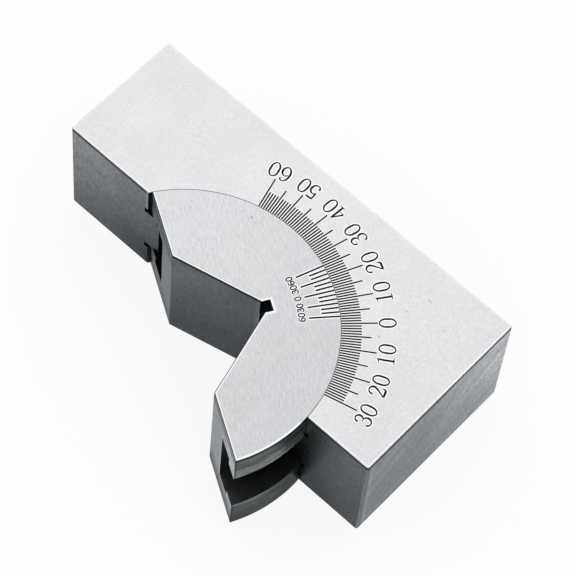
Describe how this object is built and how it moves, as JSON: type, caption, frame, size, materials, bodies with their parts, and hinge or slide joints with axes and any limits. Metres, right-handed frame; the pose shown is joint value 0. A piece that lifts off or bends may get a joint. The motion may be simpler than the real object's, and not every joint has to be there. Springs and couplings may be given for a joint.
{
  "type": "adjustable angle plate",
  "caption": "Ground steel angle plate: a stepped block whose round pocket holds a turning half-disc with a V groove, set by a degree scale and vernier and locked by a screw.",
  "frame": {"origin": "in the rest face (the face opposite the scale), under the lock screw's axis and halfway between the long face and the pocket", "axes": "+X along the block towards its taller end, +Y out of the long face, +Z out of the scale face"},
  "size_m": [0.075, 0.0474, 0.024],
  "materials": {
    "ground_block": "fine ground tool steel with a satin scale face",
    "ground_sector": "fine ground tool steel",
    "nut_steel": "turned steel",
    "black_steel": "black oxide steel"
  },
  "bodies": {
    "block": {"base_block": "ground_block"},
    "half_disc": {"v_sector": "ground_sector"},
    "nut": {"lock_nut": "nut_steel"},
    "screw": {"lock_screw": "black_steel"}
  },
  "joints": [
    {"name": "set_angle", "type": "hinge", "parent": "block", "child": "half_disc", "pos_m": [0, -0.0302, 0.012], "axis": [0, 0, 1], "range_deg": [-44, 46]},
    {"name": "lock_turn", "type": "hinge", "parent": "block", "child": "screw", "pos_m": [0, 0, 0.012], "axis": [0, 1, 0], "range_deg": [0, 180]},
    {"name": "nut_draw", "type": "slide", "parent": "block", "child": "nut", "axis": [0, -1, 0], "range_m": [0, 0.0004]}
  ],
  "couplings": [
    {"joint": "lock_turn", "follows": "nut_draw", "rad_per_m": 7854}
  ]
}
